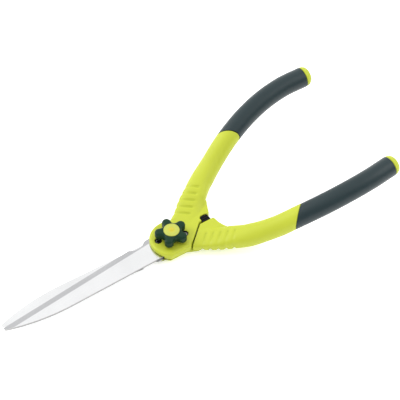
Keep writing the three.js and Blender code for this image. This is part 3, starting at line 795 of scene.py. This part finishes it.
def end_cap(arm):
    """A domed lime plug in the end of the grip, with a shallow ring round its crown."""
    radius, height, fullness = GRIP_RADIUS - 0.4, 10.8, 2 / 2.4
    profile = [(0, GAP), (radius - 0.6, GAP), (radius, GAP + 0.5)]
    for i in range(1, 24):
        angle = math.pi / 2 * i / 24
        ring = 0.5 * math.exp(-((math.degrees(angle) - 24) / 3.5) ** 2)
        profile.append(((radius - ring) * math.cos(angle) ** fullness,
                        GAP + 0.5 + (height - 0.5 - ring) * math.sin(angle) ** fullness))
    profile.append((0, GAP + height))
    points, faces = turned(profile)
    end, along = LINE.at(LINE_END)
    turn = Vector((0, 0, 1)).rotation_difference(along)
    points = [turn @ Vector(p) + end for p in points]
    obj = finish_object(f"{arm.name}_end_dome", mesh_from(points, faces, mirror=arm.mirror), [LIME], 40)
    return piece(obj, arm.body, [f"{arm.name}_end_cap"])


# ---- blades ---------------------------------------------------------------------------------------

SQUARE = [(-1, -1), (1, -1), (1, 1), (-1, 1)]


def edge_y(x):
    along = x / BLADE_TIP
    return EDGE_ROOT * (1 - along) + EDGE_TIP * along


def spine_y(x):
    along = max(0.0, (x - SPINE_CURVE_START) / (BLADE_TIP - SPINE_CURVE_START))
    rise = SPINE + SPINE_TAPER * BLADE_TIP + EDGE_TIP - TIP_WIDTH
    return rise * along ** SPINE_BEND - SPINE - SPINE_TAPER * x


def notched_edge(x):
    """The cutting edge with the branch notch near the hub."""
    if x < NOTCH_FLOOR_START:
        depth = smoothstep(NOTCH_START, NOTCH_FLOOR_START, x)
    else:
        depth = 1 - smoothstep(NOTCH_FLOOR_END, NOTCH_END, x)
    return mix(edge_y(x), NOTCH_FLOOR, depth)


def blade_section(arm, x):
    """Section of the blade: flat on the sliding face, ground down to the cutting edge on the other."""
    edge, spine, nominal = notched_edge(x), spine_y(x), edge_y(x)
    bevel_end = max(nominal - BEVEL_WIDTH, spine + 0.3)

    def rise(y):
        into = min(1.0, max(0.0, (nominal - y) / BEVEL_WIDTH))
        return EDGE_LAND + (BLADE_THICKNESS - EDGE_LAND) * into

    corners = [(edge, 0), (edge, rise(edge)), (min(bevel_end, edge - 0.05), rise(bevel_end)),
               (spine, rise(bevel_end)), (spine, 0)]
    return [Vector((x, y, arm.flat + arm.outward * height)) for y, height in corners]


def tang(arm):
    """The tang that runs back from the pivot into the shoulder."""
    outline = rounded([(-4, -22, 3), (-20, -16, 3), (-62, 28, 4), (-55, 34, 4), (-24, 17, 3), (-4, 23, 3)])
    low, high = sorted((arm.flat, arm.blade_back))
    return slab(outline, [(0, low), (0, high)])


def blade(arm):
    """Blade, root disc and tang in one, drilled for the screws and the pivot."""
    start, stations = 6.0, 220
    xs = [mix(start, BLADE_TIP, 1 - (1 - i / stations) ** 1.25) for i in range(stations + 1)]
    low, high = sorted((arm.flat, arm.blade_back))
    obj = finish_object(f"{arm.name}_steel_blade", mesh_from(*loft([blade_section(arm, x) for x in xs])),
                        [BLADE_FLAT, BEVEL_STEEL_SHADED, SPINE_STEEL_SHADED])
    root = slab(arc(0, 0, arm.skirt_inner - GAP, 0, 2 * math.pi, 95)[:-1], [(0, low), (0, high)])
    combine(obj, [root, tang(arm)], "UNION")
    cuts = [round_hole(SHANK_HOLE, *THROUGH, x, y) for x, y in screw_places()]
    if arm.mirror:
        cuts.append(round_hole(BUSH_HOLE, *THROUGH))
    else:
        cuts.append(through_cut([(sx * SQUARE_HOLE, sy * SQUARE_HOLE) for sx, sy in SQUARE]))
    combine(obj, cuts, "DIFFERENCE")
    soften_edges(obj, 0.22, segments=2, angle=28)
    # Faces take the flat steel, the darker painted-shade bevel steel or the darker painted-shade side steel
    # by how steeply they tilt.
    for face in obj.data.polygons:
        tilt = abs(face.normal.z)
        face.material_index = 0 if tilt > 0.985 else 1 if tilt > 0.8 else 2
    if arm.mirror:
        flip(obj)
    obj.data.set_sharp_from_angle(angle=math.radians(15))
    return piece(obj, arm.body, [f"{arm.name}_blade"])


# ---- screws, pivot and buffer ---------------------------------------------------------------------

def hexagon_hole(radius, low, high, x, y):
    return moved(turned([(0, low), (radius, low), (radius, high), (0, high)], 6), x, y)


def screw(arm, x, y, where):
    """A black cap screw with a black cup that lines its recess as painted shade, and a bright ring of painted
    highlight around its hexagon socket.
    """
    node = f"{arm.name}_screw_{where}"
    low, high = reach(node)
    out = arm.outward
    top, tail = (high.z, low.z) if out > 0 else (low.z, high.z)
    seat, brim = top - out * 2, arm.hub_outer - out * 0.2
    # Painted shade: the black cup at the second radius lines the recess wall up to the brim, standing in for
    # the recess's shadow.
    shank, shade_lining, head = 2.5, 4.7, 4.2
    # Painted highlight: a ring of bright steel on the head's top around the socket.
    glint_inner, glint_outer = 2.4, 3.4
    profile = [(0, tail), (shank - 0.3, tail), (shank, tail + out * 0.3), (shank, seat), (shade_lining, seat),
               (shade_lining, brim), (head + 0.1, brim), (head, top - out * 0.7), (head - 0.2, top - out * 0.25),
               (glint_outer - 0.1, top), (glint_inner, top), (0, top)]
    obj = finish_object(f"{node}_cap", mesh_from(*moved(turned(profile, 64), x, y), mirror=arm.mirror),
                        [BLACK_OXIDE, GLINT_STEEL])
    hole_low, hole_high = sorted((top - out * 1.3, top + out))
    combine(obj, [hexagon_hole(1.9, hole_low, hole_high, x, y)], "DIFFERENCE", mirror=arm.mirror)
    middle = Vector((x, -y if arm.mirror else y, top))
    # Faces in the painted-highlight ring take the bright second material.
    for face in obj.data.polygons:
        offset = face.center / MM - middle
        if abs(offset.z) < 0.3 and glint_inner < offset.xy.length < glint_outer:
            face.material_index = 1
    obj.data.shade_smooth()
    obj.data.set_sharp_from_angle(angle=math.radians(35))
    return piece(obj, arm.body, [node])


def turned_piece(name, profile, material, body, nodes):
    obj = finish_object(name, mesh_from(*turned(profile)), [material], 35)
    return piece(obj, body, nodes)


def ring_profile(inner, outer, low, high, chamfer):
    """Profile of a ring with chamfered rims."""
    return [(inner, low + chamfer), (inner + chamfer, low),
            (outer - chamfer, low), (outer, low + chamfer),
            (outer, high - chamfer), (outer - chamfer, high),
            (inner + chamfer, high), (inner, high - chamfer)]


def pivot_bolt():
    """Round flat head with a rolled rim, square neck, and a shaft with thread rings at its top."""
    low, high = reach("pivot_bolt")
    head, head_radius, neck_top, radius = 4.1, 9.0, REAR.flat, BOLT_SHAFT
    profile = [(0, low.z), (head_radius - 0.6, low.z), (head_radius, low.z + 0.6),
               (head_radius, head - 0.3), (head_radius - 0.3, head), (radius, head),
               (radius, neck_top + 6)]
    z, pitch = HUB_TOP + 2, 1.25
    while z + pitch < high.z - 0.6:
        profile += [(radius, z), (radius - 0.55, z + pitch * 0.45), (radius, z + pitch * 0.9)]
        z += pitch
    profile += [(radius - 0.5, high.z), (0, high.z)]
    obj = finish_object("pivot_bolt_turned", mesh_from(*turned(profile)), [ZINC])
    square = rounded([(sx * BOLT_SHAFT, sy * BOLT_SHAFT, 0.5) for sx, sy in SQUARE])
    combine(obj, [slab(square, [(0, head - 0.2), (0, neck_top)])], "UNION")
    obj.data.shade_smooth()
    obj.data.set_sharp_from_angle(angle=math.radians(35))
    return piece(obj, "rear_arm", ["pivot_bolt"])


def stop_buffer():
    """The rubber stop: a block with ribs that run along the face it lands on."""
    low, high = reach("stop_buffer")
    face, back = -high.y, -low.y
    near, far = high.x, low.x
    ribs, corner, depth, lip, edge = 3, 5.0, 1.3, 0.6, 1.2
    rings = []
    steps = 90
    for i in range(steps + 1):
        y = mix(face, back, i / steps)
        from_back = back - y
        turn_in = corner - math.sqrt(max(0.0, corner ** 2 - max(0.0, corner - from_back) ** 2))
        end = lip - math.sqrt(max(0.0, lip ** 2 - max(0.0, lip - (y - face)) ** 2))
        wave = abs(math.sin(math.pi * ribs * (y - face) / (back - face)))
        groove = depth * (1 - min(1.0, 2.2 * wave)) ** 1.5 * (0 if i in (0, steps) else 1)
        sink = end + groove
        x_sink = turn_in + end + 0.4 * groove
        left, right, bottom, top = far + x_sink, near - x_sink, low.z + sink, high.z - sink
        outline = rounded([(left, bottom, edge), (right, bottom, edge),
                           (right, top, edge), (left, top, edge)], 5)
        rings.append([Vector((x, y, z)) for x, z in outline])
    obj = finish_object("stop_buffer_ribbed", mesh_from(*loft(rings), mirror=True), [BUFFER], 50)
    return piece(obj, "front_arm", ["stop_buffer"])


# ---- tension knob ---------------------------------------------------------------------------------

KNOB_LOBES, LOBE_CENTRE, LOBE_RADIUS, LOBE_ARC, LOBE_LOW = 5, 16.7, 6.2, 1.6, 23.6
HOLLOW_RADIUS, KNOB_TURN, KNOB_BOSS = 10.5, math.radians(-26), 11.5
CAP_RADIUS, INSERT_RADIUS = 11.0, 7.0


def knob_outline():
    """Round lobes joined by hollow curves."""
    lobe_steps, hollow_steps = 28, 14
    outline = []
    pitch = 2 * math.pi / KNOB_LOBES

    def on_lobe(middle, angle):
        return Vector((LOBE_CENTRE * math.cos(middle) + LOBE_RADIUS * math.cos(middle + angle),
                       LOBE_CENTRE * math.sin(middle) + LOBE_RADIUS * math.sin(middle + angle)))

    for lobe in range(KNOB_LOBES):
        middle = KNOB_TURN + lobe * pitch
        for i in range(lobe_steps):
            outline.append(tuple(on_lobe(middle, mix(-LOBE_ARC, LOBE_ARC, i / lobe_steps))))
        a, b = on_lobe(middle, LOBE_ARC), on_lobe(middle + pitch, -LOBE_ARC)
        between = middle + pitch / 2
        hollow = Vector((HOLLOW_RADIUS * math.cos(between), HOLLOW_RADIUS * math.sin(between)))
        for i in range(hollow_steps):
            w = i / hollow_steps
            outline.append(tuple(a * (1 - w) ** 2 + hollow * 2 * w * (1 - w) + b * w * w))
    return outline


def knob_body():
    """The star body: full rounded shoulders, lobes a little domed, a seat for the cap."""
    low, high = reach("knob_body")
    cap_low = reach("knob_cap")[0].z
    levels = [(2.2, LOBE_LOW), (0.9, LOBE_LOW + 0.35), (0.25, LOBE_LOW + 0.9), (0, LOBE_LOW + 1.8)]
    round_width, round_height = 3.6, 3.4
    for i in range(13):
        angle = math.pi / 2 * i / 12
        levels.append((round_width * (1 - math.cos(angle)), high.z - round_height * (1 - math.sin(angle))))
    obj = finish_object("knob_star", mesh_from(*slab(knob_outline(), levels)), [KNOB])
    boss = turned([(0, low.z), (KNOB_BOSS - 0.4, low.z), (KNOB_BOSS, low.z + 0.4),
                   (KNOB_BOSS, LOBE_LOW + 2), (0, LOBE_LOW + 2)])
    combine(obj, [boss], "UNION")
    insert_low = reach("knob_insert")[0].z
    above = high.z + 5
    cuts = [round_hole(CAP_RADIUS + GAP, cap_low - GAP, above),
            round_hole(INSERT_RADIUS + GAP, insert_low - GAP, above),
            round_hole(BORE + GAP, 15, 40)]
    combine(obj, cuts, "DIFFERENCE")
    obj.data.shade_smooth()
    obj.data.set_sharp_from_angle(angle=math.radians(50))
    return piece(obj, "knob", ["knob_body"])


def knob_cap():
    """The cap disc: rolled rim, a shallow ring groove, and a low button in the middle."""
    low, high = reach("knob_cap")
    radius, top = high.x, high.z - 0.35

    def relief(r):
        groove = -0.35 * math.exp(-((r - 8.4) / 0.5) ** 2)
        inner = -0.2 * math.exp(-((r - 3.4) / 0.4) ** 2)
        button = 0.35 * (1 - smoothstep(2.0, 3.0, r))
        return top - 0.25 * (r / radius) ** 2 + groove + inner + button

    rim_width, rim_height = 1.0, 1.2
    crown = radius - rim_width
    profile = [(0, low.z), (radius - 0.2, low.z), (radius, low.z + 0.2), (radius, top - rim_height)]
    for i in range(1, 7):
        angle = math.pi / 2 * i / 6
        profile.append((radius - rim_width * (1 - math.cos(angle)),
                        mix(top - rim_height, relief(crown), math.sin(angle))))
    steps = 60
    for i in range(1, steps):
        r = crown * (1 - i / steps)
        profile.append((r, relief(r)))
    profile.append((0, relief(0)))
    return turned_piece("knob_cap_disc", profile, LIME_CAP, "knob", ["knob_cap"])


# ---- making the pieces ----------------------------------------------------------------------------

def make_arm(arm):
    handle(arm)
    grip(arm)
    end_cap(arm)
    blade(arm)
    for (x, y), where in zip(screw_places(), ("blade_side", "handle_side")):
        screw(arm, x, y, where)


def make_pivot():
    pivot_bolt()
    low, high = reach("bolt_washer")
    turned_piece("bolt_washer_ring", ring_profile(6.1, 9.2, low.z, high.z, 0.25), ZINC, "rear_arm",
                 ["bolt_washer"])
    low, high = reach("pivot_bush")
    turned_piece("pivot_bush_ring", ring_profile(BORE, 6.0, low.z, high.z, 0.3), BRASS, "front_arm",
                 ["pivot_bush"])
    low, high = reach("knob_washer")
    turned_piece("knob_washer_ring", ring_profile(BORE, 11.0, low.z, high.z, 0.35), ZINC, "knob_carrier",
                 ["knob_washer"])
    low, high = reach("knob_insert")
    turned_piece("knob_insert_ring", ring_profile(BORE, INSERT_RADIUS, low.z, high.z, 0.4), BRASS, "knob",
                 ["knob_insert"])


# ---- stage, light and camera ----------------------------------------------------------------------

def floor():
    """A wide pale light table just under the shears, faintly lit from below."""
    size, drop = 6.0, 0.0006
    mesh = bpy.data.meshes.new("floor")
    mesh.from_pydata([(-size, -size, -drop), (size, -size, -drop), (size, size, -drop), (-size, size, -drop)],
                     [], [(0, 1, 2, 3)])
    n = Nodes("floor_paper", 0.9)
    n.colour(n.blend(n.ramp(n.noise(3, detail=2), 0.0, 1.0), (0.93, 0.93, 0.93, 1), (0.95, 0.95, 0.95, 1)))
    n.shader.inputs["Emission Color"].default_value = (1, 1, 1, 1)
    n.shader.inputs["Emission Strength"].default_value = 0.42
    mesh.materials.append(n.material)
    obj = bpy.data.objects.new("floor", mesh)
    bpy.context.scene.collection.objects.link(obj)


def sky():
    """A white studio dome, brightest high up behind the shears and dimmest on the viewer's side."""
    world = bpy.data.worlds.new("studio")
    world.use_nodes = True
    tree = world.node_tree
    background = tree.nodes["Background"]
    direction = tree.nodes.new("ShaderNodeTexCoord")
    facing = tree.nodes.new("ShaderNodeVectorMath")
    facing.operation = "DOT_PRODUCT"
    facing.inputs[1].default_value = (-BACK.x, -BACK.y, BACK.z)
    ramp = tree.nodes.new("ShaderNodeMapRange")
    ramp.interpolation_type = "SMOOTHSTEP"
    for name, value in (("From Min", -0.1), ("From Max", 0.8), ("To Min", 0.8), ("To Max", 1.46)):
        ramp.inputs[name].default_value = value
    tree.links.new(direction.outputs["Generated"], facing.inputs[0])
    tree.links.new(facing.outputs["Value"], ramp.inputs["Value"])
    tree.links.new(ramp.outputs["Result"], background.inputs["Strength"])
    background.inputs["Color"].default_value = (1, 1, 1, 1)
    bpy.context.scene.world = world


def soft_light(name, where, power, size):
    """A large area light that faces the middle of the shears."""
    data = bpy.data.lights.new(name, "AREA")
    data.energy = power
    data.size = size
    obj = bpy.data.objects.new(name, data)
    obj.location = where
    obj.rotation_euler = (AIM - Vector(where)).to_track_quat("-Z", "Y").to_euler()
    bpy.context.scene.collection.objects.link(obj)


CAMERA_HEADING, CAMERA_RISE, CAMERA_ROLL = math.radians(56.38), math.radians(49.82), math.radians(0.17)
CAMERA_DISTANCE, CAMERA_LENS = 2.253, 149.1
AIM_RIGHT, AIM_UP = 0.0383, 0.0570

BACK = Vector((math.cos(CAMERA_HEADING) * math.cos(CAMERA_RISE),
               math.sin(CAMERA_HEADING) * math.cos(CAMERA_RISE), math.sin(CAMERA_RISE)))
RIGHT = Vector((0, 0, 1)).cross(BACK).normalized()
UP = BACK.cross(RIGHT)
AIM = Vector((0, 0, BLADE_PLANE * MM)) + RIGHT * AIM_RIGHT + UP * AIM_UP


def camera():
    """The photograph's view: a long lens from above the blades' side."""
    data = bpy.data.cameras.new("camera")
    data.lens = CAMERA_LENS
    data.sensor_width = 36
    data.clip_end = 50
    obj = bpy.data.objects.new("camera", data)
    turn = Matrix((RIGHT, UP, BACK)).transposed() @ Matrix.Rotation(CAMERA_ROLL, 3, "Z")
    obj.matrix_world = Matrix.Translation(AIM + BACK * CAMERA_DISTANCE) @ turn.to_4x4()
    bpy.context.scene.collection.objects.link(obj)
    bpy.context.scene.camera = obj


def studio():
    floor()
    sky()
    left = AIM - RIGHT * 1.4 + UP * 0.9 + BACK * 0.6
    soft_light("key", left, 14, 1.0)
    soft_light("fill", AIM + RIGHT * 1.5 + Vector((0, 0, 1.4)), 8, 1.4)
    view = bpy.context.scene.view_settings
    view.view_transform = "Standard"
    view.look = "None"


camera()
for each in (REAR, FRONT):
    make_arm(each)
make_pivot()
stop_buffer()
knob_body()
knob_cap()
studio()
